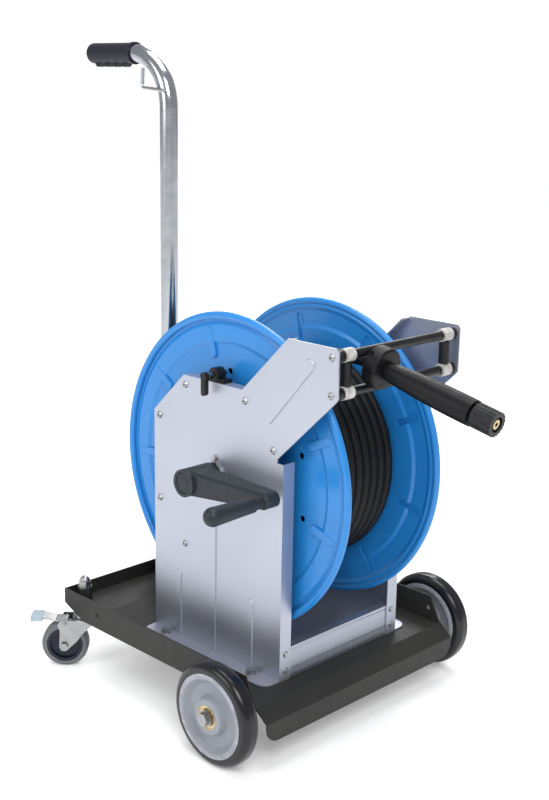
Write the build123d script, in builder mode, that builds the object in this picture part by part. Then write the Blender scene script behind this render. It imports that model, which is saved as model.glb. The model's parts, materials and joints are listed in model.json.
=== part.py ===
from build123d import *
import math
import os

os.makedirs("parts", exist_ok=True)

# ---------------------------------------------------------------- driving dimensions (mm)
# Cart coordinates: x from the mid-plane, y rearwards from the front axle, z up from the floor.
GRIP_END_X = -294          # outer end of the crank grip
AXLE_END_X = 280           # outer end of the right wheel bolt
HEAD_FRONT_Y = -119.5      # front edge of the side plates' heads
HANDLE_END_Y = 603         # rear end of the handle grip

# The part's origin is the middle of its box, on the floor.
MID_X = -(GRIP_END_X + AXLE_END_X) / 2
AXLE_Y = -(HEAD_FRONT_Y + HANDLE_END_Y) / 2

SHEET = 2.5                # tray and side plate sheet
RUN = 0.06                 # radial clearance of a running fit
GAP = 0.3                  # gap between turning faces

WHEEL_R = 80
WHEEL_X = 251
HUB_R = 65
HUB_W = 38
TYRE_W = 30
AXLE_R = 10
BEARING_R = 18.5

TRAY_X = 219               # outer face of the tray's side walls
FLOOR_Z = 96
WALL_Z = 139
FLOOR_FRONT_Y = -50
FLOOR_REAR_Y = 369
REAR_Y = 417.5             # inner face of the rear wall
REAR_Z = 115
SKIRT_Y = -75
SKIRT_TOP_Z = 78
SKIRT_Z = 46

PLATE_X = 137.6            # outer face of the side plates
PLATE_FRONT_Y = -18
PLATE_REAR_Y = 274.5
PLATE_TOP_Z = 540
HEAD_TOP_Z = 632
FLANGE = 21
FOOT = 32

DRUM_Y = 130
DRUM_Z = 393.6
DISC_R = 250
DISC_X = 97                # inner face of the discs
DISC_T = 2
CORE_R = 90
WIND_R = 176
HOSE_D = 17
SHAFT_R = 12.5

POST_Y = 398.5
POST_R = 15
BEND_R = 88
BAR_Z = 1027               # centre height of the handle bar

GUIDE_Y = -107
GUIDE_X = 4
GUIDE_HALF = 111
GUIDE_TOP_Z = 618
GUIDE_LOW_Z = 564
ROD_R = 4
ROLLER_R = 7
BLOCK_R = 10
BLOCK_W = 20

LOCK_Y = 138
LOCK_Z = 551
LOCK_TRAVEL = 9

CRANK_Y = -22
CRANK_Z = 399
PIN_R = 5

CASTER_X = 194.5
CASTER_Y = 394.5
CASTER_R = 40
CASTER_W = 26
TRAIL = 35
SWIVEL_DEG = 135           # direction in which the casters trail
STEM_R = 6
PEDAL_PIVOT = (34, 83)       # along the trail and up


# ---------------------------------------------------------------- planes in cart coordinates
def level(z, x=0, y=0):
    """Horizontal plane at height z with its origin at (x, y)."""
    return Plane(origin=(MID_X + x, AXLE_Y + y, z), x_dir=(1, 0, 0), z_dir=(0, 0, 1))


def side(x, y=0, z=0):
    """Upright plane across the cart: its x is the cart's y, its y is z, its normal is +X."""
    return Plane(origin=(MID_X + x, AXLE_Y + y, z), x_dir=(0, 1, 0), z_dir=(1, 0, 0))


def front(y, x=0, z=0):
    """Upright plane facing forward: its x is the cart's x, its y is z, its normal is -Y."""
    return Plane(origin=(MID_X + x, AXLE_Y + y, z), x_dir=(1, 0, 0), z_dir=(0, -1, 0))


def axis_x(y, z):
    """Axis along X through (y, z)."""
    return Axis((MID_X, AXLE_Y + y, z), (1, 0, 0))


def beside(points, amount):
    """The folded line `points` moved sideways by `amount`, with mitred corners."""
    moved = []
    for i, (u, v) in enumerate(points):
        normals = []
        for a, b in zip(points[max(i - 1, 0):i + 1], points[max(i - 1, 0) + 1:i + 2]):
            length = math.dist(a, b)
            normals.append(((b[1] - a[1]) / length, -(b[0] - a[0]) / length))
        n = (sum(p for p, q in normals), sum(q for p, q in normals))
        scale = amount * len(normals) / (n[0] ** 2 + n[1] ** 2)
        moved.append((u + n[0] * scale, v + n[1] * scale))
    return moved


def save(builder, name):
    """Label a finished sub-part and write its STEP file."""
    builder.part.label = name
    export_step(builder.part, f"parts/{name}.step")


SIDES = {"left": -1, "right": 1}

# ---------------------------------------------------------------- tray
boss_spots = [(MID_X + s * CASTER_X, AXLE_Y + CASTER_Y) for s in SIDES.values()]
foot_bolt_y = [31.6, 233.7]
foot_bolt_x = PLATE_X + 12.4
foot_spots = [(MID_X + s * foot_bolt_x, AXLE_Y + y) for s in SIDES.values() for y in foot_bolt_y]
tie_holes = [(-25, 116), (327, 117.5)]

floor_line = [(SKIRT_Y, SKIRT_Z), (SKIRT_Y, SKIRT_TOP_Z), (FLOOR_FRONT_Y, FLOOR_Z), (FLOOR_REAR_Y, FLOOR_Z)]
floor_line += [(REAR_Y, REAR_Z), (REAR_Y, WALL_Z)]
under_line = beside(floor_line, SHEET)
wall_line = [(FLOOR_FRONT_Y + 22, WALL_Z), (FLOOR_FRONT_Y + 2, FLOOR_Z + 4), floor_line[1]]
wall_line += under_line[1:5] + [(REAR_Y + SHEET, WALL_Z)]

with BuildPart() as tray:
    with BuildSketch(side(0)):
        with BuildLine():
            Polyline(*floor_line, *reversed(under_line), close=True)
        make_face()
    extrude(amount=TRAY_X, both=True)
    for s in SIDES.values():
        with BuildSketch(side(s * TRAY_X)):
            with BuildLine():
                Polyline(*wall_line, close=True)
            make_face()
            with Locations(*tie_holes):
                Circle(4, mode=Mode.SUBTRACT)
        extrude(amount=-s * SHEET)
    skirt_corners = tray.edges().filter_by(Axis.Y).group_by(Axis.Z)[0]
    fillet(skirt_corners, radius=24)
    with BuildSketch(Plane.XY.offset(FLOOR_Z - 30)):
        with Locations(*boss_spots):
            Circle(12.1)
        with Locations(*foot_spots):
            Circle(4.2)
    extrude(amount=60, mode=Mode.SUBTRACT)
save(tray, "tray")

with BuildPart() as caster_bosses:
    with BuildSketch(Plane.XY.offset(FLOOR_Z)):
        with Locations(*boss_spots):
            Circle(12)
            Circle(STEM_R + 0.3, mode=Mode.SUBTRACT)
    extrude(amount=46)
save(caster_bosses, "caster_bosses")

boss_top = FLOOR_Z + 46
with BuildPart() as cap_nuts:
    with BuildSketch(Plane.XY.offset(boss_top)):
        with Locations(*boss_spots):
            Circle(12)
    extrude(amount=2.5)
    with BuildSketch(Plane.XY.offset(boss_top + 2.5)):
        with Locations(*boss_spots):
            RegularPolygon(radius=9.5, side_count=6, major_radius=False)
    extrude(amount=9)
    for x, y in boss_spots:
        with BuildSketch(Plane(origin=(x, y, boss_top + 11.5), x_dir=(1, 0, 0), z_dir=(0, -1, 0))) as dome:
            with BuildLine():
                Line((0, 0), (9, 0))
                CenterArc((0, 0), 9, 0, 90)
                Line((0, 9), (0, 0))
            make_face()
        revolve(axis=Axis((x, y, 0), (0, 0, 1)))
    with BuildSketch(Plane.XY.offset(boss_top)):
        with Locations(*boss_spots):
            Circle(STEM_R)
    extrude(amount=13, mode=Mode.SUBTRACT)
save(cap_nuts, "cap_nuts")

race_top = FLOOR_Z
with BuildPart() as caster_stems:
    with BuildSketch(Plane.XY.offset(race_top - 7)):
        with Locations(*boss_spots):
            Circle(20)
    extrude(amount=7)
    with BuildSketch(Plane.XY.offset(race_top - 18)):
        with Locations(*boss_spots):
            Circle(STEM_R)
    extrude(amount=18 + 46 + 12.5)
    with BuildSketch(Plane.XY.offset(race_top - 20)):
        with Locations(*boss_spots):
            Circle(9)
    extrude(amount=2.5)
    rims = caster_stems.edges().filter_by(GeomType.CIRCLE).group_by(SortBy.RADIUS)[-1]
    fillet(rims, radius=2)
save(caster_stems, "caster_stems")

# ---------------------------------------------------------------- front axle and wheels
hub_in = WHEEL_X - HUB_W / 2
hub_out = WHEEL_X + HUB_W / 2
with BuildPart() as front_axle:
    with BuildSketch(side(-hub_out, 0, WHEEL_R)):
        Circle(AXLE_R)
    extrude(amount=2 * hub_out)
    for s in SIDES.values():
        with BuildSketch(side(s * (TRAY_X + 2), 0, WHEEL_R)):
            Circle(15)
        extrude(amount=s * (hub_in - 0.5 - TRAY_X - 2))
        with BuildSketch(side(s * hub_out, 0, WHEEL_R)):
            Circle(6)
        extrude(amount=-s * 22, mode=Mode.SUBTRACT)
save(front_axle, "front_axle")

saddle_x = 193
with BuildPart() as axle_saddles:
    for s in SIDES.values():
        with BuildSketch(side(s * saddle_x - 20)):
            with BuildLine():
                Polyline((-34, FLOOR_Z - SHEET), (-34, FLOOR_Z - SHEET - 4), (-14, 68), (14, 68),
                         (34, FLOOR_Z - SHEET - 4), (34, FLOOR_Z - SHEET), close=True)
            make_face()
            with Locations((0, WHEEL_R)):
                Circle(AXLE_R, mode=Mode.SUBTRACT)
        extrude(amount=40)
save(axle_saddles, "axle_saddles")

with BuildPart() as axle_bolts:
    for s in SIDES.values():
        with BuildSketch(side(s * (hub_out + 0.5), 0, WHEEL_R)):
            Circle(13)
        extrude(amount=s * 2.5)
        with BuildSketch(side(s * (hub_out + 3), 0, WHEEL_R)):
            RegularPolygon(radius=9, side_count=6, major_radius=False)
        extrude(amount=s * (AXLE_END_X - hub_out - 3))
        with BuildSketch(side(s * (hub_out + 1), 0, WHEEL_R)):
            Circle(6)
        extrude(amount=-s * 22)
save(axle_bolts, "axle_bolts")

# half section of a wheel hub, from the bore outwards: (distance from the mid-plane, radius)
hub_half = [(7, AXLE_R + 2), (7, BEARING_R), (HUB_W / 2, BEARING_R), (HUB_W / 2, 27)]
hub_half += [(6, 31), (6, 49), (16, 57), (16, HUB_R)]
hub_line = [(WHEEL_X + w, r) for w, r in hub_half] + [(WHEEL_X - w, r) for w, r in reversed(hub_half)]

for name, s in SIDES.items():
    with BuildPart() as hub:
        with BuildSketch(front(0, 0, WHEEL_R)) as hub_section:
            with BuildLine():
                Polyline(*[(s * x, r) for x, r in hub_line], close=True)
            make_face()
            fillet(hub_section.vertices().filter_by(lambda corner: 26 < corner.Y < 50), radius=3)
            fillet(hub_section.vertices().filter_by(lambda corner: 55 < corner.Y < 60), radius=2)
        revolve(axis=axis_x(0, WHEEL_R))
    save(hub, f"{name}_wheel_hub")

    with BuildPart() as tyre:
        with BuildSketch(side(s * WHEEL_X, 0, WHEEL_R)):
            Circle(WHEEL_R)
            Circle(HUB_R, mode=Mode.SUBTRACT)
        extrude(amount=TYRE_W / 2, both=True)
        tread_edges = tyre.edges().filter_by(GeomType.CIRCLE).group_by(SortBy.RADIUS)[-1]
        fillet(tread_edges, radius=11)
    save(tyre, f"{name}_tyre")

    with BuildPart() as bearings:
        for face in (-1, 1):
            with BuildSketch(side(s * WHEEL_X + face * HUB_W / 2, 0, WHEEL_R)):
                Circle(BEARING_R)
                Circle(AXLE_R + RUN, mode=Mode.SUBTRACT)
            extrude(amount=-face * 12)
            with BuildSketch(side(s * WHEEL_X + face * HUB_W / 2, 0, WHEEL_R)):
                Circle(BEARING_R - 1.5)
                Circle(14, mode=Mode.SUBTRACT)
            extrude(amount=-face * 1, mode=Mode.SUBTRACT)
    save(bearings, f"{name}_wheel_bearings")

# ---------------------------------------------------------------- casters
trail_dir = Vector(math.cos(math.radians(SWIVEL_DEG)), math.sin(math.radians(SWIVEL_DEG)), 0)
roll_dir = Vector(trail_dir.Y, -trail_dir.X, 0)


def caster_side(s, offset):
    """Upright plane through a caster: x along the trail, y up, moved along the roll axis."""
    centre = Vector(MID_X + s * CASTER_X, AXLE_Y + CASTER_Y, 0) + roll_dir * offset
    return Plane(origin=centre, x_dir=trail_dir, z_dir=roll_dir)


fork_half = 17
fork_top = race_top - 7.5
for name, s in SIDES.items():
    swivel = (MID_X + s * CASTER_X, AXLE_Y + CASTER_Y)
    with BuildPart() as fork:
        with BuildSketch(Plane.XY.offset(fork_top - 4)):
            with Locations(swivel):
                Circle(22)
        extrude(amount=4)
        fillet(fork.edges().filter_by(GeomType.CIRCLE).group_by(Axis.Z)[-1], radius=1.5)
        for cheek in (-1, 1):
            with BuildSketch(caster_side(s, cheek * fork_half)):
                with BuildLine():
                    Polyline((-14, fork_top - 1.5), (40, fork_top - 1.5), (46, 78), (42, 68), (43.5, 40))
                    ThreePointArc((43.5, 40), (TRAIL, 31), (27, 36))
                    Polyline((27, 36), (14, 48), (2, 64), (-14, 80), (-14, fork_top - 1.5))
                make_face()
                with Locations((TRAIL, CASTER_R)):
                    Circle(4, mode=Mode.SUBTRACT)
            extrude(amount=cheek * 2.5)
        with BuildSketch(Plane.XY.offset(fork_top - 4)):
            with Locations(swivel):
                Rectangle(30, 2 * fork_half + 5, rotation=SWIVEL_DEG)
        extrude(amount=2.5)
        with BuildSketch(Plane.XY.offset(fork_top - 6)):
            with Locations(swivel):
                Circle(STEM_R + RUN)
        extrude(amount=8, mode=Mode.SUBTRACT)
    save(fork, f"{name}_caster_fork")

    with BuildPart() as caster_bolt:
        with BuildSketch(caster_side(s, -fork_half - 8)):
            with Locations((TRAIL, CASTER_R)):
                RegularPolygon(radius=6.5, side_count=6, major_radius=False)
        extrude(amount=5.5)
        with BuildSketch(caster_side(s, fork_half + 2.5)):
            with Locations((TRAIL, CASTER_R)):
                RegularPolygon(radius=6.5, side_count=6, major_radius=False)
        extrude(amount=5.5)
        with BuildSketch(caster_side(s, -fork_half - 3)):
            with Locations((TRAIL, CASTER_R)):
                Circle(4)
        extrude(amount=2 * fork_half + 6)
    save(caster_bolt, f"{name}_caster_bolt")

    with BuildPart() as caster_hub:
        with BuildSketch(caster_side(s, 0)):
            with Locations((TRAIL, CASTER_R)):
                Circle(31)
        extrude(amount=CASTER_W / 2 - 1, both=True)
        for face in (-1, 1):
            with BuildSketch(caster_side(s, face * (CASTER_W / 2 - 1))):
                with Locations((TRAIL, CASTER_R)):
                    Circle(26)
                    Circle(11, mode=Mode.SUBTRACT)
            extrude(amount=-face * 5, mode=Mode.SUBTRACT)
            with BuildSketch(caster_side(s, face * (CASTER_W / 2 - 2))):
                with Locations((TRAIL, CASTER_R)):
                    Circle(9)
            extrude(amount=face * 5)
        with BuildSketch(caster_side(s, 0)):
            with Locations((TRAIL, CASTER_R)):
                Circle(4 + RUN)
        extrude(amount=CASTER_W, both=True, mode=Mode.SUBTRACT)
    save(caster_hub, f"{name}_caster_wheel")

    with BuildPart() as tread:
        with BuildSketch(caster_side(s, 0)):
            with Locations((TRAIL, CASTER_R)):
                Circle(CASTER_R)
                Circle(31, mode=Mode.SUBTRACT)
        extrude(amount=CASTER_W / 2, both=True)
        fillet(tread.edges().filter_by(GeomType.CIRCLE).group_by(SortBy.RADIUS)[-1], radius=6)
    save(tread, f"{name}_caster_tread")

    with BuildPart() as pedal:
        with BuildSketch(caster_side(s, 0)):
            with BuildLine():
                Polyline((30, 81), (30, 84), (50, 85.5), (62, 88.5), (72, 90.5), (86, 91), (91, 87), (91, 85),
                         (86, 83.5), (74, 85.5), (62, 86), (50, 83), close=True)
            make_face()
        extrude(amount=fork_half - 4, both=True)
        with BuildSketch(caster_side(s, 0)):
            with Locations(PEDAL_PIVOT):
                Circle(2.2)
        extrude(amount=fork_half - GAP, both=True)
    save(pedal, f"{name}_brake_pedal")

# ---------------------------------------------------------------- handle
socket_top = 190
with BuildPart() as handle_socket:
    with BuildSketch(level(REAR_Z + 1, 0, POST_Y)):
        Circle(REAR_Y - POST_Y)
        Circle(POST_R, mode=Mode.SUBTRACT)
    extrude(amount=socket_top - REAR_Z - 1)
    with BuildSketch(side(0, 0, 0)):
        with BuildLine():
            Polyline((FLOOR_REAR_Y + 8, 101), (POST_Y + 16, REAR_Z + 1), (POST_Y - 19, REAR_Z + 1), close=True)
        make_face()
    extrude(amount=2.5, both=True)
    with BuildSketch(front(POST_Y, 0, 165)):
        Circle(4.2)
    extrude(amount=30, both=True, mode=Mode.SUBTRACT)
save(handle_socket, "handle_socket")

post_low = REAR_Z + 2
bend_low = BAR_Z - BEND_R
bend_y = POST_Y + BEND_R
with BuildPart() as handle_post:
    with BuildLine(side(0)) as post_path:
        Line((POST_Y, post_low), (POST_Y, bend_low))
        RadiusArc((POST_Y, bend_low), (bend_y, BAR_Z), BEND_R)
        Line((bend_y, BAR_Z), (HANDLE_END_Y - 5, BAR_Z))
    with BuildSketch(level(post_low, 0, POST_Y)):
        Circle(POST_R)
        Circle(POST_R - 2, mode=Mode.SUBTRACT)
    sweep()
    with BuildSketch(front(POST_Y, 0, 165)):
        Circle(4.2)
    extrude(amount=30, both=True, mode=Mode.SUBTRACT)
save(handle_post, "handle_post")

grip_start_y = 484
with BuildPart() as handle_grip:
    with BuildSketch(front(grip_start_y, 0, BAR_Z)):
        Circle(POST_R + 2.2)
    extrude(amount=-(HANDLE_END_Y - grip_start_y))
    with BuildSketch(front(grip_start_y, 0, BAR_Z)):
        Circle(POST_R + 3.5)
    extrude(amount=-6)
    for i in range(4):
        with BuildSketch(side(0, grip_start_y + 25 + 24 * i, BAR_Z - POST_R)):
            Circle(8)
        extrude(amount=6, both=True)
    fillet(handle_grip.edges().filter_by(GeomType.CIRCLE).sort_by(Axis.Y)[-1], radius=6)
    with BuildSketch(front(grip_start_y, 0, BAR_Z)):
        Circle(POST_R)
    extrude(amount=-(HANDLE_END_Y - 5 - grip_start_y), mode=Mode.SUBTRACT)
save(handle_grip, "handle_grip")

hook_x = -(POST_R + 3.2)
with BuildPart() as hose_hook:
    with BuildLine(side(hook_x)):
        FilletPolyline((390, 967), (445, 971), (443, 1003), radius=7)
    with BuildSketch(Plane(origin=(MID_X + hook_x, AXLE_Y + 390, 967), z_dir=(0, 55, 4))):
        Circle(3)
    sweep()
save(hose_hook, "hose_hook")

# ---------------------------------------------------------------- reel frame
plate_low = FLOOR_Z
outline = [
    (PLATE_REAR_Y, plate_low), (PLATE_REAR_Y, 471), (203, PLATE_TOP_Z), (71, PLATE_TOP_Z),
    (-22, HEAD_TOP_Z), (HEAD_FRONT_Y + 5, HEAD_TOP_Z), (HEAD_FRONT_Y, HEAD_TOP_Z - 5),
    (HEAD_FRONT_Y, 560), (HEAD_FRONT_Y + 5, 554), (-5, 449), (-5, 443),
    (PLATE_FRONT_Y, 443), (PLATE_FRONT_Y, plate_low),
]
reel_holes = [(198.4, 524.7), (261, 463.5), (64.6, 523.7), (4, 460.4), (260.7, 324.1), (199.8, 261.3)]
rod_holes = [(GUIDE_Y, GUIDE_TOP_Z), (GUIDE_Y, GUIDE_LOW_Z)]
screw_holes = reel_holes + rod_holes
screw_r = 3
shaft_screw_pcd_r = 25
ribs = [(214, 21, 206), (131.5, 21, 335), (48, 22, 206)]
rib_h = 1.8
bead_low = (15.5, 507.8)
bead_high = (-64.9, 600)
bar_x = PLATE_X - SHEET - FLANGE / 2
bar_screw_z = [112, 139]

for name, s in SIDES.items():
    inner = s * (PLATE_X - SHEET)
    with BuildPart() as side_plate:
        with BuildSketch(side(inner)):
            with BuildLine():
                Polyline(*outline, close=True)
            make_face()
        extrude(amount=s * SHEET)
        # inward flanges at the front, rear and top edges and along the arm
        with BuildSketch(side(inner)):
            with BuildLine():
                Polyline((PLATE_FRONT_Y, plate_low), (PLATE_FRONT_Y, 443), (PLATE_FRONT_Y + SHEET, 443),
                         (PLATE_FRONT_Y + SHEET, plate_low), close=True)
            make_face()
            with BuildLine():
                Polyline((PLATE_REAR_Y, plate_low), (PLATE_REAR_Y, 471), (PLATE_REAR_Y - SHEET, 471),
                         (PLATE_REAR_Y - SHEET, plate_low), close=True)
            make_face()
        extrude(amount=-s * FLANGE)
        with BuildSketch(side(inner)):
            with BuildLine():
                Polyline((203, PLATE_TOP_Z), (71, PLATE_TOP_Z), (71, PLATE_TOP_Z - SHEET),
                         (203, PLATE_TOP_Z - SHEET), close=True)
            make_face()
            with BuildLine():
                arm_edge = [(68, PLATE_TOP_Z + 3), (-20, HEAD_TOP_Z - 2)]
                Polyline(*arm_edge, *reversed(beside(arm_edge, -SHEET)), close=True)
            make_face()
        extrude(amount=-s * 18)
        # outward foot
        with BuildSketch(level(plate_low, s * (PLATE_X + FOOT / 2), (PLATE_FRONT_Y + PLATE_REAR_Y) / 2)):
            Rectangle(FOOT, PLATE_REAR_Y - PLATE_FRONT_Y)
        extrude(amount=SHEET)
        foot_corners = side_plate.edges().filter_by(Axis.Z).sort_by(Axis.X, reverse=s < 0)[-2:]
        fillet(foot_corners, radius=20)
        # pressed ribs and the bead on the arm
        with BuildSketch(side(s * PLATE_X)):
            for rib_y, width, rib_top in ribs:
                with Locations((rib_y, (rib_top + plate_low + SHEET) / 2)):
                    Rectangle(width - 9, rib_top - plate_low - SHEET)
                with Locations((rib_y, rib_top)):
                    Circle((width - 9) / 2)
            SlotCenterPoint(
                ((bead_low[0] + bead_high[0]) / 2, (bead_low[1] + bead_high[1]) / 2),
                bead_high, height=19)
        extrude(amount=s * rib_h, taper=20)
        # holes
        with BuildSketch(side(s * PLATE_X)):
            with Locations(*screw_holes):
                Circle(screw_r + 0.1)
            with Locations((DRUM_Y, DRUM_Z)):
                Circle(20.1)
                with PolarLocations(shaft_screw_pcd_r + 2, 4):
                    Circle(2.6)
        extrude(amount=-s * SHEET, mode=Mode.SUBTRACT)
        with BuildSketch(front(PLATE_FRONT_Y - 1)):
            with Locations(*[(s * bar_x, z) for z in bar_screw_z]):
                Circle(2.6)
        extrude(amount=-(PLATE_REAR_Y - PLATE_FRONT_Y + 2), mode=Mode.SUBTRACT)
        with BuildSketch(Plane.XY.offset(plate_low)):
            with Locations(*foot_spots):
                Circle(4.2)
        extrude(amount=SHEET, mode=Mode.SUBTRACT)
    save(side_plate, f"{name}_side_plate")

bar_half = PLATE_X - SHEET
bar_low, bar_high = FLOOR_Z + 3, FLOOR_Z + 51
with BuildPart() as crossbars:
    for y, inward in ((PLATE_FRONT_Y + SHEET, 1), (PLATE_REAR_Y - SHEET, -1)):
        web = [(y + 16 * inward, bar_high), (y, bar_high), (y, bar_low), (y + 16 * inward, bar_low)]
        with BuildSketch(side(0)):
            with BuildLine():
                Polyline(*web, *reversed(beside(web, -2 * inward)), close=True)
            make_face()
        extrude(amount=bar_half, both=True)
        with BuildSketch(front(y + 3 * inward)):
            with Locations(*[(s * bar_x, z) for s in SIDES.values() for z in bar_screw_z]):
                Circle(2.6)
        extrude(amount=5 * inward, mode=Mode.SUBTRACT)
save(crossbars, "crossbars")

with BuildPart() as crossbar_screws:
    for y, outward in ((PLATE_FRONT_Y, 1), (PLATE_REAR_Y, -1)):
        spots = [(s * bar_x, z) for s in SIDES.values() for z in bar_screw_z]
        with BuildSketch(front(y)):
            with Locations(*spots):
                Circle(5)
        extrude(amount=2.6 * outward, taper=25)
        with BuildSketch(front(y)):
            with Locations(*spots):
                Circle(2.5)
        extrude(amount=-6 * outward)
save(crossbar_screws, "crossbar_screws")

with BuildPart() as bottom_pan:
    with BuildSketch(level(FLOOR_Z, 0, (PLATE_FRONT_Y + PLATE_REAR_Y) / 2)):
        Rectangle(2 * bar_half, PLATE_REAR_Y - PLATE_FRONT_Y - 2 * SHEET)
    extrude(amount=1.5)
save(bottom_pan, "bottom_pan")

with BuildPart() as plate_screws:
    for s in SIDES.values():
        with BuildSketch(side(s * PLATE_X)):
            with Locations(*screw_holes):
                Circle(5.6)
        extrude(amount=s * 3.3, taper=28)
        with BuildSketch(side(s * (PLATE_X + 3.3))):
            with Locations(*screw_holes):
                RegularPolygon(radius=2, side_count=6)
        extrude(amount=-s * 2, mode=Mode.SUBTRACT)
        with BuildSketch(side(s * PLATE_X)):
            with Locations(*screw_holes):
                Circle(screw_r)
        extrude(amount=-s * (SHEET + 7))
save(plate_screws, "plate_screws")

with BuildPart() as foot_bolts:
    with BuildSketch(Plane.XY.offset(plate_low + SHEET)):
        with Locations(*foot_spots):
            Circle(8.5)
    extrude(amount=1.6)
    with BuildSketch(Plane.XY.offset(plate_low + SHEET + 1.6)):
        with Locations(*foot_spots):
            RegularPolygon(radius=6.8, side_count=6, major_radius=False)
    extrude(amount=5.5)
    with BuildSketch(Plane.XY.offset(plate_low + SHEET)):
        with Locations(*foot_spots):
            Circle(4)
    extrude(amount=-14)
    # the same bolt clamps the handle post in its socket
    with BuildSketch(front(POST_Y + 19.2, 0, 165)):
        RegularPolygon(radius=6.8, side_count=6, major_radius=False)
    extrude(amount=-5.5)
    with BuildSketch(front(POST_Y + 20, 0, 165)):
        Circle(4)
    extrude(amount=46)
    # nuts under the tray and in front of the socket
    with BuildSketch(Plane.XY.offset(FLOOR_Z - SHEET)):
        with Locations(*foot_spots):
            RegularPolygon(radius=6.8, side_count=6, major_radius=False)
            Circle(4 + RUN, mode=Mode.SUBTRACT)
    extrude(amount=-6.5)
    with BuildSketch(front(POST_Y - 19.2, 0, 165)):
        RegularPolygon(radius=6.8, side_count=6, major_radius=False)
        Circle(4 + RUN, mode=Mode.SUBTRACT)
    extrude(amount=6.5)
save(foot_bolts, "foot_bolts_and_nuts")

# ---------------------------------------------------------------- drum
with BuildPart() as shaft_bearings:
    for s in SIDES.values():
        with BuildSketch(side(s * (PLATE_X - SHEET), DRUM_Y, DRUM_Z)):
            Circle(34)
            with PolarLocations(shaft_screw_pcd_r + 2, 4):
                Circle(2.6, mode=Mode.SUBTRACT)
        extrude(amount=-s * 8)
        with BuildSketch(side(s * (PLATE_X - SHEET), DRUM_Y, DRUM_Z)):
            Circle(20)
        extrude(amount=s * (SHEET + 4))
        with BuildSketch(side(s * PLATE_X, DRUM_Y, DRUM_Z)):
            Circle(SHAFT_R + RUN)
        extrude(amount=20, both=True, mode=Mode.SUBTRACT)
save(shaft_bearings, "shaft_bearings")

with BuildPart() as bearing_screws:
    for s in SIDES.values():
        with BuildSketch(side(s * PLATE_X, DRUM_Y, DRUM_Z)):
            with PolarLocations(shaft_screw_pcd_r + 2, 4):
                Circle(4.5)
        extrude(amount=s * 4)
        with BuildSketch(side(s * PLATE_X, DRUM_Y, DRUM_Z)):
            with PolarLocations(shaft_screw_pcd_r + 2, 4):
                Circle(2.5)
        extrude(amount=-s * 10)
save(bearing_screws, "bearing_screws")

# middle line of a disc's section, from the bore outwards: (distance outside the inner face, radius)
disc_line = [(DISC_T / 2, SHAFT_R), (DISC_T / 2, 199), (4, 205), (4, 229), (1.5, 235), (3, 240.5)]
rib_r = 203                # middle of the pressed ribs
rib_l = 50
rib_w = 14
disc_rib_h = 4
rib_angles = [24 + 40 * i for i in range(9)]
lock_angle = math.degrees(math.atan2(LOCK_Z - DRUM_Z, LOCK_Y - DRUM_Y))
lock_pcd_r = math.hypot(LOCK_Y - DRUM_Y, LOCK_Z - DRUM_Z)

for name, s in SIDES.items():
    with BuildPart() as disc:
        with BuildSketch(front(DRUM_Y, 0, DRUM_Z)):
            with BuildLine():
                FilletPolyline(*[(s * (DISC_X + u), v) for u, v in disc_line], radius=3)
            trace(line_width=DISC_T)
            with Locations((s * (DISC_X + 6), DISC_R - 6)):
                Circle(6)
        revolve(axis=axis_x(DRUM_Y, DRUM_Z))
        # pressed radial ribs: raised outside, hollow inside
        with BuildSketch(side(s * (DISC_X + DISC_T), DRUM_Y, DRUM_Z)):
            for angle in rib_angles:
                with PolarLocations(rib_r, 1, start_angle=180 - angle):
                    SlotOverall(rib_l, rib_w)
        extrude(amount=s * disc_rib_h)
        rib_tops = disc.faces().filter_by(GeomType.PLANE).group_by(Axis.X)[-1 if s > 0 else 0]
        chamfer(rib_tops.edges(), length=1)
        with BuildSketch(side(s * DISC_X, DRUM_Y, DRUM_Z)):
            for angle in rib_angles:
                with PolarLocations(rib_r, 1, start_angle=180 - angle):
                    SlotOverall(rib_l - 4, rib_w - 4)
        extrude(amount=s * disc_rib_h, mode=Mode.SUBTRACT)
        with BuildSketch(side(s * (DISC_X - 1), DRUM_Y, DRUM_Z)):
            with PolarLocations(lock_pcd_r, 10, start_angle=lock_angle):
                Circle(5)
        extrude(amount=s * 8, mode=Mode.SUBTRACT)
    save(disc, f"{name}_disc")

with BuildPart() as drum_core:
    with BuildSketch(side(-DISC_X, DRUM_Y, DRUM_Z)):
        Circle(CORE_R)
        Circle(SHAFT_R, mode=Mode.SUBTRACT)
    extrude(amount=2 * DISC_X)
    with BuildSketch(side(-DISC_X + 3, DRUM_Y, DRUM_Z)):
        Circle(CORE_R - 3)
        Circle(SHAFT_R + 5, mode=Mode.SUBTRACT)
    extrude(amount=2 * DISC_X - 6, mode=Mode.SUBTRACT)
save(drum_core, "drum_core")

hub_face_x = -203
shaft_end_x = 172
with BuildPart() as drum_shaft:
    with BuildSketch(side(hub_face_x + 12, DRUM_Y, DRUM_Z)):
        Circle(SHAFT_R)
    extrude(amount=shaft_end_x - hub_face_x - 12)
    with BuildSketch(side(0, DRUM_Y, DRUM_Z)):
        Circle(6)
    extrude(amount=shaft_end_x, mode=Mode.SUBTRACT)
save(drum_shaft, "drum_shaft")

with BuildPart() as hose_winding:
    with BuildSketch(side(-DISC_X + 0.5, DRUM_Y, DRUM_Z)):
        Circle(WIND_R)
        Circle(CORE_R, mode=Mode.SUBTRACT)
    extrude(amount=2 * DISC_X - 1)
save(hose_winding, "hose_winding")

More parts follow.
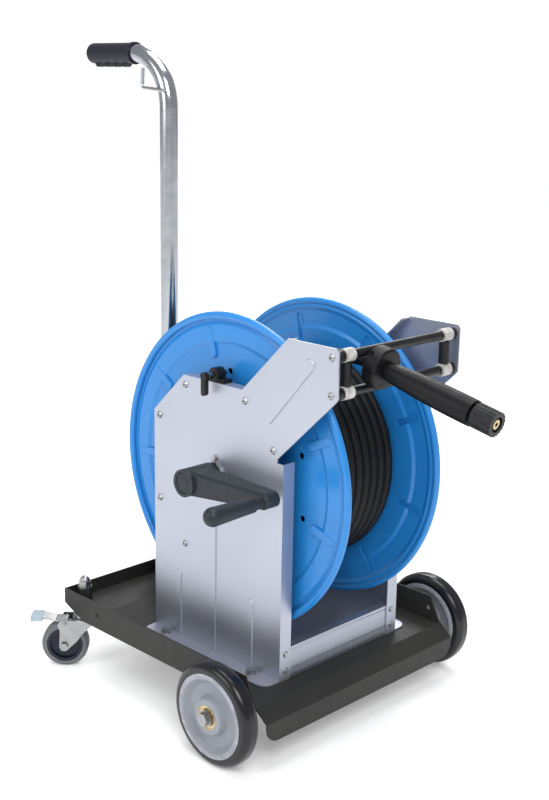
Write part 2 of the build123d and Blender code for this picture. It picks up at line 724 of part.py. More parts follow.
inlet_hex_x = PLATE_X + 40
inlet_pin_x = inlet_hex_x + 12
inlet_pin_l = 16
with BuildPart() as inlet_swivel:
    with BuildSketch(side(PLATE_X + 6, DRUM_Y, DRUM_Z)):
        Circle(18)
    extrude(amount=inlet_hex_x - PLATE_X - 6)
    with BuildSketch(side(inlet_hex_x, DRUM_Y, DRUM_Z)):
        RegularPolygon(radius=12, side_count=6, major_radius=False)
    extrude(amount=inlet_pin_x - inlet_hex_x)
    with BuildSketch(side(inlet_pin_x, DRUM_Y, DRUM_Z)):
        Circle(8.3)
    extrude(amount=inlet_pin_l)
    with BuildSketch(side(PLATE_X, DRUM_Y, DRUM_Z)):
        Circle(SHAFT_R + RUN)
    extrude(amount=shaft_end_x + 1 - PLATE_X, mode=Mode.SUBTRACT)
    with BuildSketch(side(PLATE_X, DRUM_Y, DRUM_Z)):
        Circle(5)
    extrude(amount=inlet_pin_x + inlet_pin_l - PLATE_X, mode=Mode.SUBTRACT)
save(inlet_swivel, "inlet_swivel")

# ---------------------------------------------------------------- crank
reach_y = CRANK_Y - DRUM_Y
reach_z = CRANK_Z - DRUM_Z
arm_back_x = -160
pin_head_r = 8
pin_head_l = 5
with BuildPart() as crank_arm:
    with BuildSketch(side(arm_back_x, DRUM_Y, DRUM_Z)):
        Circle(20)
        with Locations((reach_y, reach_z)):
            Circle(12.5)
        make_hull()
    extrude(amount=-38)
    split(bisect_by=Plane(origin=(MID_X - 199, AXLE_Y + DRUM_Y, 0), z_dir=(-1, -0.075, 0)), keep=Keep.BOTTOM)
    chamfer(crank_arm.faces().sort_by(Axis.X)[0].edges(), length=4)
    with BuildSketch(side(-148, DRUM_Y, DRUM_Z)):
        Circle(21.5)
    extrude(amount=hub_face_x + 148)
    with BuildSketch(side(hub_face_x, DRUM_Y, DRUM_Z)):
        Circle(16)
    extrude(amount=4, mode=Mode.SUBTRACT)
    with BuildSketch(side(-148, DRUM_Y, DRUM_Z)):
        Circle(SHAFT_R)
    extrude(amount=hub_face_x + 12 + 148, mode=Mode.SUBTRACT)
    with BuildSketch(side(arm_back_x, CRANK_Y, CRANK_Z)):
        Circle(pin_head_r)
    extrude(amount=-pin_head_l, mode=Mode.SUBTRACT)
    with BuildSketch(side(arm_back_x, CRANK_Y, CRANK_Z)):
        Circle(PIN_R)
    extrude(amount=-60, mode=Mode.SUBTRACT)
save(crank_arm, "crank_arm")

arm_face_x = -189
grip_start_x = arm_face_x - 1
pin_end_x = GRIP_END_X + 16
with BuildPart() as crank_pin:
    with BuildSketch(side(arm_back_x, CRANK_Y, CRANK_Z)):
        Circle(PIN_R)
    extrude(amount=pin_end_x - arm_back_x)
    with BuildSketch(side(arm_back_x, CRANK_Y, CRANK_Z)):
        Circle(pin_head_r)
    extrude(amount=-pin_head_l)
save(crank_pin, "crank_pin")

with BuildPart() as crank_grip:
    with BuildSketch(front(CRANK_Y, 0, CRANK_Z)):
        with BuildLine():
            Polyline((grip_start_x, 0), (grip_start_x, 9.5), (grip_start_x - 13, 9), (grip_start_x - 14, 11.5),
                     (GRIP_END_X + 14, 14))
            CenterArc((GRIP_END_X + 14, 0), 14, 90, 90)
            Line((GRIP_END_X, 0), (grip_start_x, 0))
        make_face()
    revolve(axis=axis_x(CRANK_Y, CRANK_Z))
    with BuildSketch(side(grip_start_x, CRANK_Y, CRANK_Z)):
        Circle(PIN_R + RUN)
    extrude(amount=pin_end_x - 2 - grip_start_x, mode=Mode.SUBTRACT)
save(crank_grip, "crank_grip")

# ---------------------------------------------------------------- drum lock
with BuildPart() as lock_housing:
    with BuildSketch(level(PLATE_TOP_Z, -126, LOCK_Y - 4)):
        Rectangle(18, 40)
    extrude(amount=6)
    with BuildSketch(side(-135, LOCK_Y, LOCK_Z)):
        RegularPolygon(radius=10.9, side_count=8, rotation=22.5)
    extrude(amount=18)
    with BuildSketch(side(-140, LOCK_Y, LOCK_Z)):
        Circle(4 + RUN)
    extrude(amount=30, mode=Mode.SUBTRACT)
save(lock_housing, "lock_housing")

lock_out_x = -156
with BuildPart() as lock_pin:
    with BuildSketch(side(-106, LOCK_Y, LOCK_Z)):
        Circle(4)
    extrude(amount=lock_out_x + 4 + 106)
    chamfer(lock_pin.edges().filter_by(GeomType.CIRCLE).sort_by(Axis.X)[-1], length=1)
save(lock_pin, "lock_pin")

with BuildPart() as lock_lever:
    with BuildSketch(side(lock_out_x, LOCK_Y, LOCK_Z)):
        Circle(6)
        with Locations((0, -13)):
            Rectangle(9, 26)
        with Locations((0, -26)):
            Circle(4.5)
    extrude(amount=8)
    with BuildSketch(side(lock_out_x + 4, LOCK_Y, LOCK_Z)):
        Circle(4)
    extrude(amount=5, mode=Mode.SUBTRACT)
save(lock_lever, "lock_lever")

# ---------------------------------------------------------------- roller guide
rod_half = PLATE_X - SHEET
with BuildPart() as guide_rods:
    with BuildSketch(side(-rod_half)):
        with Locations(*rod_holes):
            Circle(ROD_R)
    extrude(amount=2 * rod_half)
    for s in SIDES.values():
        with BuildSketch(side(s * rod_half)):
            with Locations(*rod_holes):
                Circle(screw_r)
        extrude(amount=-s * 8, mode=Mode.SUBTRACT)
save(guide_rods, "guide_rods")

spigot_r = 3
with BuildPart() as guide_blocks:
    for s in SIDES.values():
        with BuildSketch(side(GUIDE_X + s * (GUIDE_HALF - BLOCK_W / 2))):
            with Locations(*rod_holes):
                Circle(BLOCK_R)
                Circle(ROD_R, mode=Mode.SUBTRACT)
        extrude(amount=s * BLOCK_W)
    with BuildSketch(level(GUIDE_LOW_Z + 5)):
        with Locations((GUIDE_X - GUIDE_HALF, GUIDE_Y), (GUIDE_X + GUIDE_HALF, GUIDE_Y)):
            Circle(spigot_r + RUN)
    extrude(amount=GUIDE_TOP_Z - GUIDE_LOW_Z - 10, mode=Mode.SUBTRACT)
save(guide_blocks, "guide_blocks")

with BuildPart() as guide_spacers:
    for s in SIDES.values():
        block_end = GUIDE_X + s * (GUIDE_HALF + BLOCK_W / 2)
        with BuildSketch(side(block_end)):
            with Locations(*rod_holes):
                Circle(8.5)
                Circle(ROD_R, mode=Mode.SUBTRACT)
        extrude(amount=s * rod_half - block_end)
save(guide_spacers, "guide_spacers")

roller_half = GUIDE_HALF - BLOCK_W / 2 - GAP
for name, z in (("upper", GUIDE_TOP_Z), ("lower", GUIDE_LOW_Z)):
    with BuildPart() as roller:
        with BuildSketch(side(GUIDE_X - roller_half, GUIDE_Y, z)):
            Circle(ROLLER_R)
            Circle(ROD_R + RUN, mode=Mode.SUBTRACT)
        extrude(amount=2 * roller_half)
    save(roller, f"{name}_roller")

upright_low = GUIDE_LOW_Z + BLOCK_R + GAP
upright_high = GUIDE_TOP_Z - BLOCK_R - GAP
for name, s in SIDES.items():
    with BuildPart() as roller:
        with BuildSketch(level(upright_low, GUIDE_X + s * GUIDE_HALF, GUIDE_Y)):
            Circle(8)
        extrude(amount=upright_high - upright_low)
        with BuildSketch(level(upright_low - 5, GUIDE_X + s * GUIDE_HALF, GUIDE_Y)):
            Circle(spigot_r)
        extrude(amount=upright_high - upright_low + 10)
    save(roller, f"{name}_roller")

# ---------------------------------------------------------------- hose outlet
# The hose leaves the top of the winding, passes the guide and droops a little: (x, y, z).
tail_points = [
    (-87, 272, 266), (-86.5, 313, 338), (-86, 318.9, 425.9), (-85.5, 282.4, 509.7), (-84, 216, 564.5),
    (-80, 134, 583.5), (-74, 56, 596.5), (-67, -12, 602.6), (-61, -72, 603.8), (-58.5, -112, 600.3),
    (-58, -141, 593.9),
]
tail_corners = [Vector(MID_X + x, AXLE_Y + y, z) for x, y, z in tail_points]


def arc_radius(before, corner, after):
    """Radius of the arc at a corner: 0.45 of the shorter run over the tangent of half the turn."""
    first, second = corner - before, after - corner
    half_turn = math.radians(first.get_angle(second)) / 2
    return 0.45 * min(first.length, second.length) / math.tan(half_turn)


tail_radii = [arc_radius(*tail_corners[i - 1:i + 2]) for i in range(1, len(tail_corners) - 1)]
print("hose tail radii", [round(r) for r in tail_radii])

with BuildPart() as hose_tail:
    with BuildLine() as tail_path:
        FilletPolyline(*tail_corners, radius=tail_radii)
    tail_wire = tail_path.wire()
    with BuildSketch(Plane(origin=tail_wire @ 0, z_dir=tail_wire % 0)):
        Circle(HOSE_D / 2)
    sweep()
tail_length = tail_wire.length
print("hose tail length", round(tail_length), "volume ratio",
      round(hose_tail.part.volume / (math.pi * HOSE_D ** 2 / 4 * tail_length), 4))
save(hose_tail, "hose_tail")

tail_end = tail_corners[-1]
tail_dir = (tail_corners[-1] - tail_corners[-2]).normalized()


def along(distance):
    """Plane square to the hose's end, `distance` beyond it."""
    return Plane(origin=tail_end + tail_dir * distance, x_dir=(1, 0, 0), z_dir=tail_dir)


stopper_r = 31
with BuildPart() as hose_stopper:
    with BuildSketch(along(-24)):
        Circle(stopper_r)
    extrude(amount=23)
    fillet(hose_stopper.edges().filter_by(GeomType.CIRCLE), radius=4)
    with BuildSketch(along(-24)):
        Circle(HOSE_D / 2)
    extrude(amount=23, mode=Mode.SUBTRACT)
    with BuildSketch(along(-12.5)):
        Rectangle(2 * stopper_r, 1.2)
    extrude(amount=40, both=True, mode=Mode.SUBTRACT)
    with BuildSketch(Plane(origin=tail_end - tail_dir * 12.5, x_dir=(1, 0, 0), z_dir=(0, 0, 1))):
        with Locations((-20, 0), (20, 0)):
            Circle(3)
    extrude(amount=40, both=True, mode=Mode.SUBTRACT)
save(hose_stopper, "hose_stopper")

sleeve_l = 152
with BuildPart() as hose_sleeve:
    with BuildSketch(along(0)):
        Circle(13.5)
    with BuildSketch(along(40)):
        Circle(16.5)
    with BuildSketch(along(sleeve_l)):
        Circle(19)
    loft()
    with BuildSketch(along(sleeve_l)):
        Circle(12)
    extrude(amount=4)
save(hose_sleeve, "hose_sleeve")

nut_l = 34
with BuildPart() as coupling_nut:
    with BuildSketch(along(sleeve_l + 4 + GAP)):
        Circle(18)
        Circle(11 + RUN, mode=Mode.SUBTRACT)
        with PolarLocations(18.6, 18):
            Circle(1.8, mode=Mode.SUBTRACT)
    extrude(amount=nut_l)
save(coupling_nut, "coupling_nut")

with BuildPart() as coupling_insert:
    with BuildSketch(along(sleeve_l + 4)):
        Circle(11)
    extrude(amount=nut_l - 6)
    with BuildSketch(along(sleeve_l + 4 + nut_l - 6)):
        Circle(7)
    extrude(amount=5)
    with BuildSketch(along(sleeve_l + 4 + 6)):
        Circle(3)
    extrude(amount=nut_l, mode=Mode.SUBTRACT)
save(coupling_insert, "coupling_insert")
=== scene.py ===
import json
import math

import bmesh
import bpy
from mathutils import Matrix, Vector


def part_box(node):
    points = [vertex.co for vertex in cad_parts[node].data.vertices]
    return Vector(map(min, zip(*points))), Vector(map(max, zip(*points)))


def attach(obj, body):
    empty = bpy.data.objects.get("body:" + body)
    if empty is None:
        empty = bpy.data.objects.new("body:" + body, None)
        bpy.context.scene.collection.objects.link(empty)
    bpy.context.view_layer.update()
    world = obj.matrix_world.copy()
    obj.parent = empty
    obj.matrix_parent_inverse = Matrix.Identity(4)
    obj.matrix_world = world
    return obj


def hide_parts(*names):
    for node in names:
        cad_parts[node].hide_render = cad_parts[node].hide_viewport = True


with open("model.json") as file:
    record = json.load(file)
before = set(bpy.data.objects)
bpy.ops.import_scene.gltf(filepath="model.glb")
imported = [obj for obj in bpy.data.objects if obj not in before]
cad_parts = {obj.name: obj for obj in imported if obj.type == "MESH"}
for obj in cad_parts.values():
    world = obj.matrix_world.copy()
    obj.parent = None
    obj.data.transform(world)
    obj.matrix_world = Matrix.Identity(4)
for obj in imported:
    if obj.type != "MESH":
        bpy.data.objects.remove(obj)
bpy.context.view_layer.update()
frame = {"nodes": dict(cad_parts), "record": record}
NODES = frame["nodes"]

# ---------------------------------------------------------------- cart coordinates
# Millimetres: x from the mid-plane, y rearwards from the front axle, z up from the floor.
tray_low, tray_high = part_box("tray")
axle_low, axle_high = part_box("front_axle")
MID_X = (tray_low.x + tray_high.x) / 2
AXLE_Y = (axle_low.y + axle_high.y) / 2

DRUM_Y, DRUM_Z = 130, 393.6
DISC_X = 97
CORE_R = 90
HOSE_D = 17


def at(x, y, z):
    """A point in cart coordinates as a place in the frame, in metres."""
    return Vector((MID_X + x / 1000, AXLE_Y + y / 1000, z / 1000))


# ---------------------------------------------------------------- camera
CAMERA_AT = at(-1377.336, -1225.64, 983.192)
YAW, PITCH, ROLL = math.radians(45.262), math.radians(14.3275), math.radians(-1.0143)
SENSOR_MM, LENS_MM = 36, 55.97
NEAR_CLIP, FAR_CLIP = 0.05, 50


def make_camera():
    """The camera at the viewing angle: yaw to the right of +Y, pitched down, rolled a little."""
    forward = Vector((math.sin(YAW) * math.cos(PITCH), math.cos(YAW) * math.cos(PITCH),
                      -math.sin(PITCH)))
    right = Vector((math.cos(YAW), -math.sin(YAW), 0))
    down = forward.cross(right)
    across = right * math.cos(ROLL) + down * math.sin(ROLL)
    below = down * math.cos(ROLL) - right * math.sin(ROLL)
    data = bpy.data.cameras.new("camera")
    data.sensor_width = SENSOR_MM
    data.lens = LENS_MM
    data.clip_start, data.clip_end = NEAR_CLIP, FAR_CLIP
    camera = bpy.data.objects.new("camera", data)
    turn = Matrix((across, -below, -forward)).transposed()
    camera.matrix_world = Matrix.Translation(CAMERA_AT) @ turn.to_4x4()
    bpy.context.scene.collection.objects.link(camera)
    bpy.context.scene.camera = camera


make_camera()


# ---------------------------------------------------------------- material kit
class Shader:
    """A node material on one Principled shader, with short calls for what the materials share."""

    def __init__(self, name, colour, rough, metal=0.0, **sockets):
        self.material = bpy.data.materials.new(name)
        self.material.use_nodes = True
        self.tree = self.material.node_tree
        self.bsdf = self.tree.nodes["Principled BSDF"]
        self.set("Base Color", (*colour, 1))
        self.set("Roughness", rough)
        self.set("Metallic", metal)
        for key, value in sockets.items():
            self.set(key.replace("_", " "), value)
        self.place = self.tree.nodes.new("ShaderNodeTexCoord").outputs["Object"]
        self.height = None

    def set(self, socket, value):
        self.bsdf.inputs[socket].default_value = value

    def link(self, a, b):
        self.tree.links.new(a, b)

    def stretched(self, scale):
        """The object coordinates scaled by (x, y, z)."""
        node = self.tree.nodes.new("ShaderNodeMapping")
        node.inputs["Scale"].default_value = scale
        self.link(self.place, node.inputs["Vector"])
        return node.outputs["Vector"]

    def noise(self, scale, detail=4, rough=0.5, stretch=None):
        """Noise with about `scale` bumps to the metre."""
        node = self.tree.nodes.new("ShaderNodeTexNoise")
        node.inputs["Scale"].default_value = scale
        node.inputs["Detail"].default_value = detail
        node.inputs["Roughness"].default_value = rough
        self.link(self.stretched(stretch) if stretch else self.place, node.inputs["Vector"])
        return node.outputs["Fac"]

    def cells(self, scale):
        """A leathery grain of rounded cells, about `scale` of them to the metre."""
        node = self.tree.nodes.new("ShaderNodeTexVoronoi")
        node.inputs["Scale"].default_value = scale
        self.link(self.place, node.inputs["Vector"])
        return node.outputs["Distance"]

    def ramp(self, value, *stops):
        """A value turned into a grey level or a colour by stops of (position, colour)."""
        node = self.tree.nodes.new("ShaderNodeValToRGB")
        elements = node.color_ramp.elements
        while len(elements) < len(stops):
            elements.new(0.5)
        for element, (position, colour) in zip(elements, stops):
            element.position = position
            if isinstance(colour, (int, float)):
                colour = (colour, colour, colour)
            element.color = (*colour, 1)
        self.link(value, node.inputs["Fac"])
        return node.outputs["Color"]

    def math(self, operation, a, b):
        """Two values joined by a math operation."""
        node = self.tree.nodes.new("ShaderNodeMath")
        node.operation = operation
        self.link(a, node.inputs[0])
        self.link(b, node.inputs[1])
        return node.outputs["Value"]

    def mix(self, factor, a, b):
        """Colour a turned towards b by factor."""
        node = self.tree.nodes.new("ShaderNodeMix")
        node.data_type = "RGBA"
        for name, value in (("Factor_Float", factor), ("A_Color", a), ("B_Color", b)):
            socket = next(s for s in node.inputs if s.identifier == name)
            if isinstance(value, tuple):
                socket.default_value = (*value, 1)
            else:
                self.link(value, socket)
        return next(s for s in node.outputs if s.identifier == "Result_Color")

    def colour(self, value):
        self.link(value, self.bsdf.inputs["Base Color"])

    def rough(self, value):
        self.link(value, self.bsdf.inputs["Roughness"])

    def bump(self, value, depth_mm, strength):
        """Adds relief of about depth_mm to what is there already."""
        node = self.tree.nodes.new("ShaderNodeBump")
        node.inputs["Strength"].default_value = strength
        node.inputs["Distance"].default_value = depth_mm / 1000
        self.link(value, node.inputs["Height"])
        if self.height is not None:
            self.link(self.height, node.inputs["Normal"])
        self.height = node.outputs["Normal"]
        self.link(self.height, self.bsdf.inputs["Normal"])

    def edge_wear(self):
        """1 on the object's convex edges, 0 elsewhere, broken up by noise."""
        geometry = self.tree.nodes.new("ShaderNodeNewGeometry").outputs["Pointiness"]
        edges = self.ramp(geometry, (0.52, 0.0), (0.60, 1.0))
        patches = self.ramp(self.noise(90), (0.42, 0.0), (0.62, 1.0))
        return self.math("MULTIPLY", edges, patches)


def tray_paint():
    """Dark grey powder coat: fine orange peel, a little dust and rubbed patches."""
    m = Shader("tray_paint", (0.024, 0.0235, 0.0215), 0.5, Specular_IOR_Level=0.25)
    dust = m.ramp(m.noise(5, 3), (0.3, (0.022, 0.0215, 0.020)), (0.75, (0.027, 0.0265, 0.0245)))
    rubbed = m.ramp(m.noise(80, 4), (0.62, 0.0), (0.74, 0.5))
    m.colour(m.mix(rubbed, dust, (0.040, 0.039, 0.037)))
    m.rough(m.ramp(m.noise(38, 5), (0.3, 0.44), (0.75, 0.54)))
    m.bump(m.noise(900, 2), 0.05, 0.4)
    return m.material


def galvanised():
    """Bright rolled sheet: faint rolling lines, broad soft clouds and scuffs."""
    m = Shader("galvanised", (0.46, 0.485, 0.56), 0.4, 0.8)
    lines = m.noise(40, 3, 0.6, stretch=(1, 1, 26))
    clouds = m.noise(4, 3)
    base = m.ramp(clouds, (0.3, (0.40, 0.425, 0.50)), (0.7, (0.47, 0.495, 0.57)))
    m.colour(m.mix(m.ramp(lines, (0.35, 0.0), (0.7, 0.3)), base, (0.48, 0.495, 0.54)))
    m.rough(m.math("ADD", m.ramp(clouds, (0.3, 0.37), (0.7, 0.43)),
                   m.ramp(m.noise(260, 2, stretch=(1, 1, 12)), (0.4, 0.0), (0.7, 0.07))))
    m.bump(m.noise(500, 2, stretch=(1, 1, 10)), 0.02, 0.3)
    return m.material


def drum_blue():
    """Glossy blue powder coat with a slight orange peel."""
    m = Shader("drum_blue", (0.017, 0.205, 0.56), 0.3,
               Specular_IOR_Level=0.35, Coat_Weight=0.25, Coat_Roughness=0.15)
    shade = m.ramp(m.noise(3, 2), (0.3, (0.016, 0.20, 0.545)), (0.7, (0.018, 0.21, 0.575)))
    scuffs = m.ramp(m.noise(140, 3), (0.66, 0.0), (0.74, 0.35))
    m.colour(m.mix(scuffs, shade, (0.024, 0.24, 0.60)))
    m.rough(m.ramp(m.noise(30, 3), (0.3, 0.29), (0.75, 0.32)))
    m.bump(m.noise(420, 2), 0.04, 0.2)
    return m.material


def plated(name, colour, rough):
    """Plated or turned metal: small changes of shade, polish marks and handling smears."""
    m = Shader(name, colour, rough, 1.0)
    darker = tuple(c * 0.82 for c in colour)
    m.colour(m.ramp(m.noise(60, 5), (0.3, darker), (0.7, colour)))
    m.rough(m.ramp(m.noise(35, 6), (0.3, rough * 0.75), (0.75, rough * 1.35)))
    m.bump(m.noise(700, 3), 0.02, 0.4)
    return m.material


def plastic(name, colour, rough, grain_mm, grain, **sockets):
    """Moulded plastic or rubber: leathery grain, slightly uneven gloss and rubbed edges."""
    m = Shader(name, colour, rough, **{"Specular_IOR_Level": 0.28, **sockets})
    lighter = tuple(min(1, c * 1.35 + 0.004) for c in colour)
    cloud = m.ramp(m.noise(22, 5), (0.3, tuple(c * 0.86 for c in colour)), (0.7, colour))
    m.colour(m.mix(m.edge_wear(), cloud, lighter))
    m.rough(m.ramp(m.noise(55, 5), (0.3, rough * 0.85), (0.75, rough * 1.18)))
    m.bump(m.cells(grain), grain_mm, 0.5)
    return m.material


MATERIALS = {
    "tray_paint": tray_paint(),
    "galvanised": galvanised(),
    "drum_blue": drum_blue(),
    "chrome": plated("chrome", (0.46, 0.49, 0.52), 0.16),
    "zinc": plated("zinc", (0.38, 0.385, 0.39), 0.32),
    "axle_steel": plated("axle_steel", (0.42, 0.42, 0.42), 0.38),
    "brass": plated("brass", (0.58, 0.46, 0.26), 0.27),
    "grip_rubber": plastic("grip_rubber", (0.010, 0.011, 0.019), 0.5, 0.05, 1100),
    "crank_plastic": plastic("crank_plastic", (0.019, 0.024, 0.030), 0.42, 0.04, 1300),
    "black_plastic": plastic("black_plastic", (0.006, 0.0065, 0.008), 0.38, 0.03, 1500),
    "block_plastic": plastic("block_plastic", (0.40, 0.39, 0.37), 0.45, 0.03, 1500),
    "tyre": plastic("tyre", (0.007, 0.007, 0.010), 0.24, 0.02, 1700,
                    Specular_IOR_Level=0.4),
    "hub_plastic": plastic("hub_plastic", (0.27, 0.285, 0.32), 0.42, 0.03, 1500),
    "hose_rubber": plastic("hose_rubber", (0.005, 0.005, 0.006), 0.45, 0.04, 1200,
                           Specular_IOR_Level=0.2),
    "caster_plastic": plastic("caster_plastic", (0.008, 0.012, 0.026), 0.3, 0.02, 1500),
    "caster_tread": plastic("caster_tread", (0.13, 0.14, 0.15), 0.5, 0.03, 1500),
    "pedal_plastic": plastic("pedal_plastic", (0.36, 0.44, 0.50), 0.4, 0.03, 1500),
}


def dress_cad_nodes():
    """Every CAD node that shows gets the material of its slot in the record."""
    for row in frame["record"]["subparts"]:
        node = NODES[row["node"]]
        node.data.materials.clear()
        node.data.materials.append(MATERIALS[row["material_slot"]])


dress_cad_nodes()


EDGE_MM = {
    "tray": 0.8, "left_side_plate": 0.6, "right_side_plate": 0.6, "crossbars": 0.5,
    "lock_housing": 0.8, "lock_lever": 1.2, "handle_socket": 0.6, "crank_arm": 0.8,
}
SAME_PLACE = 0.00001                # vertices closer than this are one, in metres
SHARP_ANGLE = math.radians(35)      # edges that turn more than this are sharp


def soften_edges():
    """A narrow rounded edge on the folded sheet and the moulded parts, to catch the light."""
    for name, width in EDGE_MM.items():
        node = NODES[name]
        weld = node.modifiers.new("weld", "WELD")
        weld.merge_threshold = SAME_PLACE
        bevel = node.modifiers.new("edges", "BEVEL")
        bevel.width = width / 1000
        bevel.segments = 2
        bevel.limit_method = "ANGLE"
        bevel.angle_limit = SHARP_ANGLE
        bevel.harden_normals = True


soften_edges()


def new_mesh(name, shape):
    """The mesh of a finished bmesh, which is freed."""
    mesh = bpy.data.meshes.new(name)
    shape.to_mesh(mesh)
    shape.free()
    return mesh


def new_object(name, data, body, material):
    """Links a new object, gives it its material, and lets it ride on its body."""
    obj = bpy.data.objects.new(name, data)
    bpy.context.scene.collection.objects.link(obj)
    data.materials.append(MATERIALS[material])
    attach(obj, body)
    return obj


# ---------------------------------------------------------------- hose
def hose(name, points, body):
    """A round hose on one smooth open spline with the given control points."""
    curve = bpy.data.curves.new(name, "CURVE")
    curve.dimensions = "3D"
    curve.bevel_depth = 1.0    # the points' own radius gives the hose its thickness
    curve.bevel_resolution = 5
    curve.use_fill_caps = True
    spline = curve.splines.new("NURBS")
    spline.points.add(len(points) - 1)
    for spot, place in zip(spline.points, points):
        spot.co = (*at(*place), 1)
        spot.radius = HOSE_D / 2000
    spline.use_endpoint_u = True
    spline.order_u = 3
    spline.resolution_u = 3
    return new_object(name, curve, body, "hose_rubber")


LAYERS = 5
TURNS = 11                 # turns in a layer, the last one lying against the disc
PER_TURN = 20              # control points in a turn
WALL_X = DISC_X - 1 - HOSE_D / 2
START_R = CORE_R + HOSE_D / 2
LEAVE_ANGLE = -42          # where the hose leaves the winding, from the rear upwards
CLIMB = 0.3                # share of a turn in which the hose climbs to the next layer


def winding_points():
    """The wound hose from the core outwards; its last turn ends where the tail leaves it."""
    total = LAYERS * TURNS * PER_TURN
    cut_in = 1 / math.cos(math.pi / PER_TURN)
    points = []
    for i in range(total + 1):
        turn = i / PER_TURN
        layer = min(int(turn // TURNS), LAYERS - 1)
        done = turn - layer * TURNS
        share = min(done / (TURNS - 1), 1)
        side = 1 if (LAYERS - layer) % 2 else -1
        x = side * WALL_X * (1 - 2 * share)
        climb = max(0, done - (TURNS - CLIMB)) / CLIMB if layer < LAYERS - 1 else 0
        r = (START_R + HOSE_D * (layer + climb)) * cut_in
        angle = math.radians(LEAVE_ANGLE) + 2 * math.pi * (turn - LAYERS * TURNS)
        points.append((x, DRUM_Y + r * math.cos(angle), DRUM_Z + r * math.sin(angle)))
    return points


# From the winding, where the first two points lie inside its outermost layer, to the stopper.
tail_points = [
    (-87.5, 254.8, 281.2), (-87, 302, 341), (-86, 318.9, 425.9), (-85.5, 282.4, 509.7),
    (-84, 216, 564.5), (-80, 134, 583.5), (-74, 56, 596.5), (-67, -12, 602.6),
    (-61, -72, 603.8), (-58.5, -112, 600.3), (-58, -141, 593.9),
]

wound_points = winding_points()
wound_hose = hose("wound_hose", wound_points, "drum")
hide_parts("hose_winding")

tail = hose("hose_run", tail_points, "cart")
tail.data.splines[0].resolution_u = 12
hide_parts("hose_tail")


# ---------------------------------------------------------------- small pieces
def turned(name, centre, axis, profile, body, material, sides=40):
    """A closed turned piece; `profile` is (distance along the axis, radius) in mm, end to end."""
    shape = bmesh.new()
    turn = axis.to_track_quat("Z", "Y").to_matrix()
    rings = []
    for height, radius in profile:
        ring = []
        for i in range(sides):
            angle = 2 * math.pi * i / sides
            spot = Vector((radius * math.cos(angle), radius * math.sin(angle), height))
            ring.append(shape.verts.new(centre + turn @ (spot / 1000)))
        rings.append(ring)
    for low, high in zip(rings, rings[1:]):
        for i in range(sides):
            j = (i + 1) % sides
            shape.faces.new((low[i], low[j], high[j], high[i]))
    shape.faces.new(tuple(reversed(rings[0])))
    shape.faces.new(tuple(rings[-1]))
    mesh = new_mesh(name, shape)
    mesh.shade_smooth()
    mesh.set_sharp_from_angle(angle=SHARP_ANGLE)
    return new_object(name, mesh, body, material)


CAP_SEAT_X = -199          # floor of the recess in the crank's hub
SCREW_X = 20               # the stopper's screws, from the middle of the hose
STOPPER_HALF = 0.0125      # from the end of the hose run back to the screws, in metres
CASTER_X, CASTER_Y = 194.5, 394.5
TRAIL_ANGLE = math.radians(135)
TRAIL = Vector((math.cos(TRAIL_ANGLE), math.sin(TRAIL_ANGLE), 0))
PAD_EDGE_MM = 0.7
PIVOT_OUT, PIVOT_Z = 0.034, 83      # the pedal's rivet: metres along TRAIL, and height in mm
CHEEK_OUTSIDE = 0.0195              # from the middle of a fork to the outside of its cheek


def crank_cap():
    """The moulded cap in the recess of the crank's hub, with a shallow ring on its face."""
    profile = [(0.1, 15.6), (2.4, 15.6), (3.4, 14.6), (3.4, 11.5),
               (2.9, 11.0), (2.9, 9.5), (3.4, 9.0), (3.6, 3)]
    turned("crank_cap", at(CAP_SEAT_X, DRUM_Y, DRUM_Z), Vector((-1, 0, 0)), profile,
           "drum", "crank_plastic")


def stopper_screws():
    """The two screws that clamp the halves of the hose stopper."""
    end, before = at(*tail_points[-1]), at(*tail_points[-2])
    middle = end - (end - before).normalized() * STOPPER_HALF
    screw = [(-21, 1.4), (-21, 2.9), (17.6, 2.9), (18.6, 2.4), (18.6, 1.5), (17.2, 1.4)]
    for name, x in (("left", -SCREW_X), ("right", SCREW_X)):
        turned(f"{name}_stopper_screw", middle + Vector((x / 1000, 0, 0)), Vector((0, 0, 1)),
               screw, "cart", "zinc", 20)


def pedal_pad(name, sign):
    """The pale moulded pad on the tip of a brake pedal, with grip ridges across it."""
    shape = bmesh.new()
    # (distance along TRAIL, height, length, width, thickness) of the pad and of its ridges
    pad_block = (82.5, 87.0, 20, 31, 8.8)
    ridges = [(u, 91.4, 2, 27, 1.6) for u in (76, 80.5, 85, 89.5)]
    for u, z, length, width, height in [pad_block] + ridges:
        centre = at(sign * CASTER_X, CASTER_Y, z) + TRAIL * u / 1000
        size = Matrix.Diagonal((length / 1000, width / 1000, height / 1000, 1))
        turn = Matrix.Rotation(TRAIL_ANGLE, 4, "Z")
        bmesh.ops.create_cube(shape, size=1, matrix=Matrix.Translation(centre) @ turn @ size)
    piece = f"{name}_pedal_pad"
    pad = new_object(piece, new_mesh(piece, shape), f"{name}_brake", "pedal_plastic")
    edges = pad.modifiers.new("edges", "BEVEL")
    edges.width, edges.segments = PAD_EDGE_MM / 1000, 3


def fork_rivets(name, sign):
    """The domed heads of the pedal's rivet on both cheeks of a caster fork."""
    across = Vector((TRAIL.y, -TRAIL.x, 0))
    pivot = at(sign * CASTER_X, CASTER_Y, PIVOT_Z) + TRAIL * PIVOT_OUT
    dome = [(-1, 3.4), (0.4, 3.4), (1.3, 2.8), (1.9, 1.6), (2.1, 0.5)]
    for number, way in enumerate((-1, 1)):
        face = pivot + across * way * CHEEK_OUTSIDE
        turned(f"{name}_fork_rivet_{number}", face, across * way, dome,
               f"{name}_fork", "zinc", 24)


crank_cap()
stopper_screws()
for label, sign in (("left", -1), ("right", 1)):
    pedal_pad(label, sign)
    fork_rivets(label, sign)


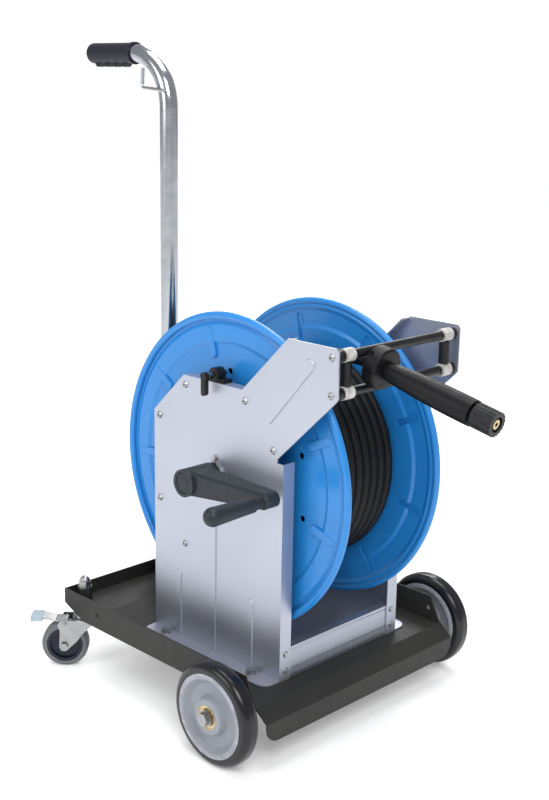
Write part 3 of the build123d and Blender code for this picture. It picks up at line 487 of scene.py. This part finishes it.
# ---------------------------------------------------------------- floor and light
FLOOR_HALF = 14            # half a side of the floor, in metres
FLOOR_GLOW = {"From Min": 0.8, "From Max": 3.6, "To Min": 0.22, "To Max": 0.56}
WORLD_LIGHT = {"To Min": 0.5, "To Max": 1.05}       # what it gives, and what the camera sees
LAMPS = (                  # name, place, side in metres, power in watts
    ("key", (-1.6, -2.4, 2.8), 1.6, 70),
    ("fill", (-2.6, 0.6, 1.6), 1.6, 26),
    ("rim", (2.2, 1.6, 2.4), 1.4, 40),
    ("top", (0.2, 0.0, 3.2), 1.8, 45),
)
LAMPS_AIM = Vector((0, 0, 0.4))


def make_floor():
    """A pale floor that glows a little, more so outwards."""
    mesh = bpy.data.meshes.new("floor")
    corners = [(x * FLOOR_HALF, y * FLOOR_HALF, 0) for x, y in ((-1, -1), (1, -1), (1, 1), (-1, 1))]
    mesh.from_pydata(corners, [], [(0, 1, 2, 3)])
    floor = bpy.data.objects.new("floor", mesh)
    bpy.context.scene.collection.objects.link(floor)
    paint = Shader("floor_paint", (0.95, 0.95, 0.95), 0.7)
    paint.set("Emission Color", (1, 1, 1, 1))
    # the lamps light the middle; a faint glow that grows outwards evens the rest out
    distance = paint.tree.nodes.new("ShaderNodeVectorMath")
    distance.operation = "LENGTH"
    paint.link(paint.place, distance.inputs[0])
    glow = paint.tree.nodes.new("ShaderNodeMapRange")
    for socket, value in FLOOR_GLOW.items():
        glow.inputs[socket].default_value = value
    paint.link(distance.outputs["Value"], glow.inputs["Value"])
    paint.link(glow.outputs["Result"], paint.bsdf.inputs["Emission Strength"])
    mesh.materials.append(paint.material)


def make_world():
    """A pale sky, brighter for the camera than in the light it gives."""
    world = bpy.data.worlds.new("studio")
    bpy.context.scene.world = world
    world.use_nodes = True
    tree = world.node_tree
    sky = tree.nodes["Background"]
    sky.inputs["Color"].default_value = (0.97, 0.98, 1.0, 1)
    seen = tree.nodes.new("ShaderNodeMapRange")
    for socket, value in WORLD_LIGHT.items():
        seen.inputs[socket].default_value = value
    path = tree.nodes.new("ShaderNodeLightPath")
    tree.links.new(path.outputs["Is Camera Ray"], seen.inputs["Value"])
    tree.links.new(seen.outputs["Result"], sky.inputs["Strength"])


def make_lamps():
    """Four large soft lamps aimed at the middle of the cart."""
    for name, place, size, power in LAMPS:
        light = bpy.data.lights.new(name, "AREA")
        light.size = size
        light.energy = power
        lamp = bpy.data.objects.new(name, light)
        lamp.location = place
        lamp.rotation_mode = "QUATERNION"
        lamp.rotation_quaternion = (LAMPS_AIM - Vector(place)).to_track_quat("-Z", "Y")
        bpy.context.scene.collection.objects.link(lamp)


make_floor()
make_world()
make_lamps()
bpy.context.scene.view_settings.view_transform = "Standard"

# ---------------------------------------------------------------- finish
bpy.context.view_layer.update()
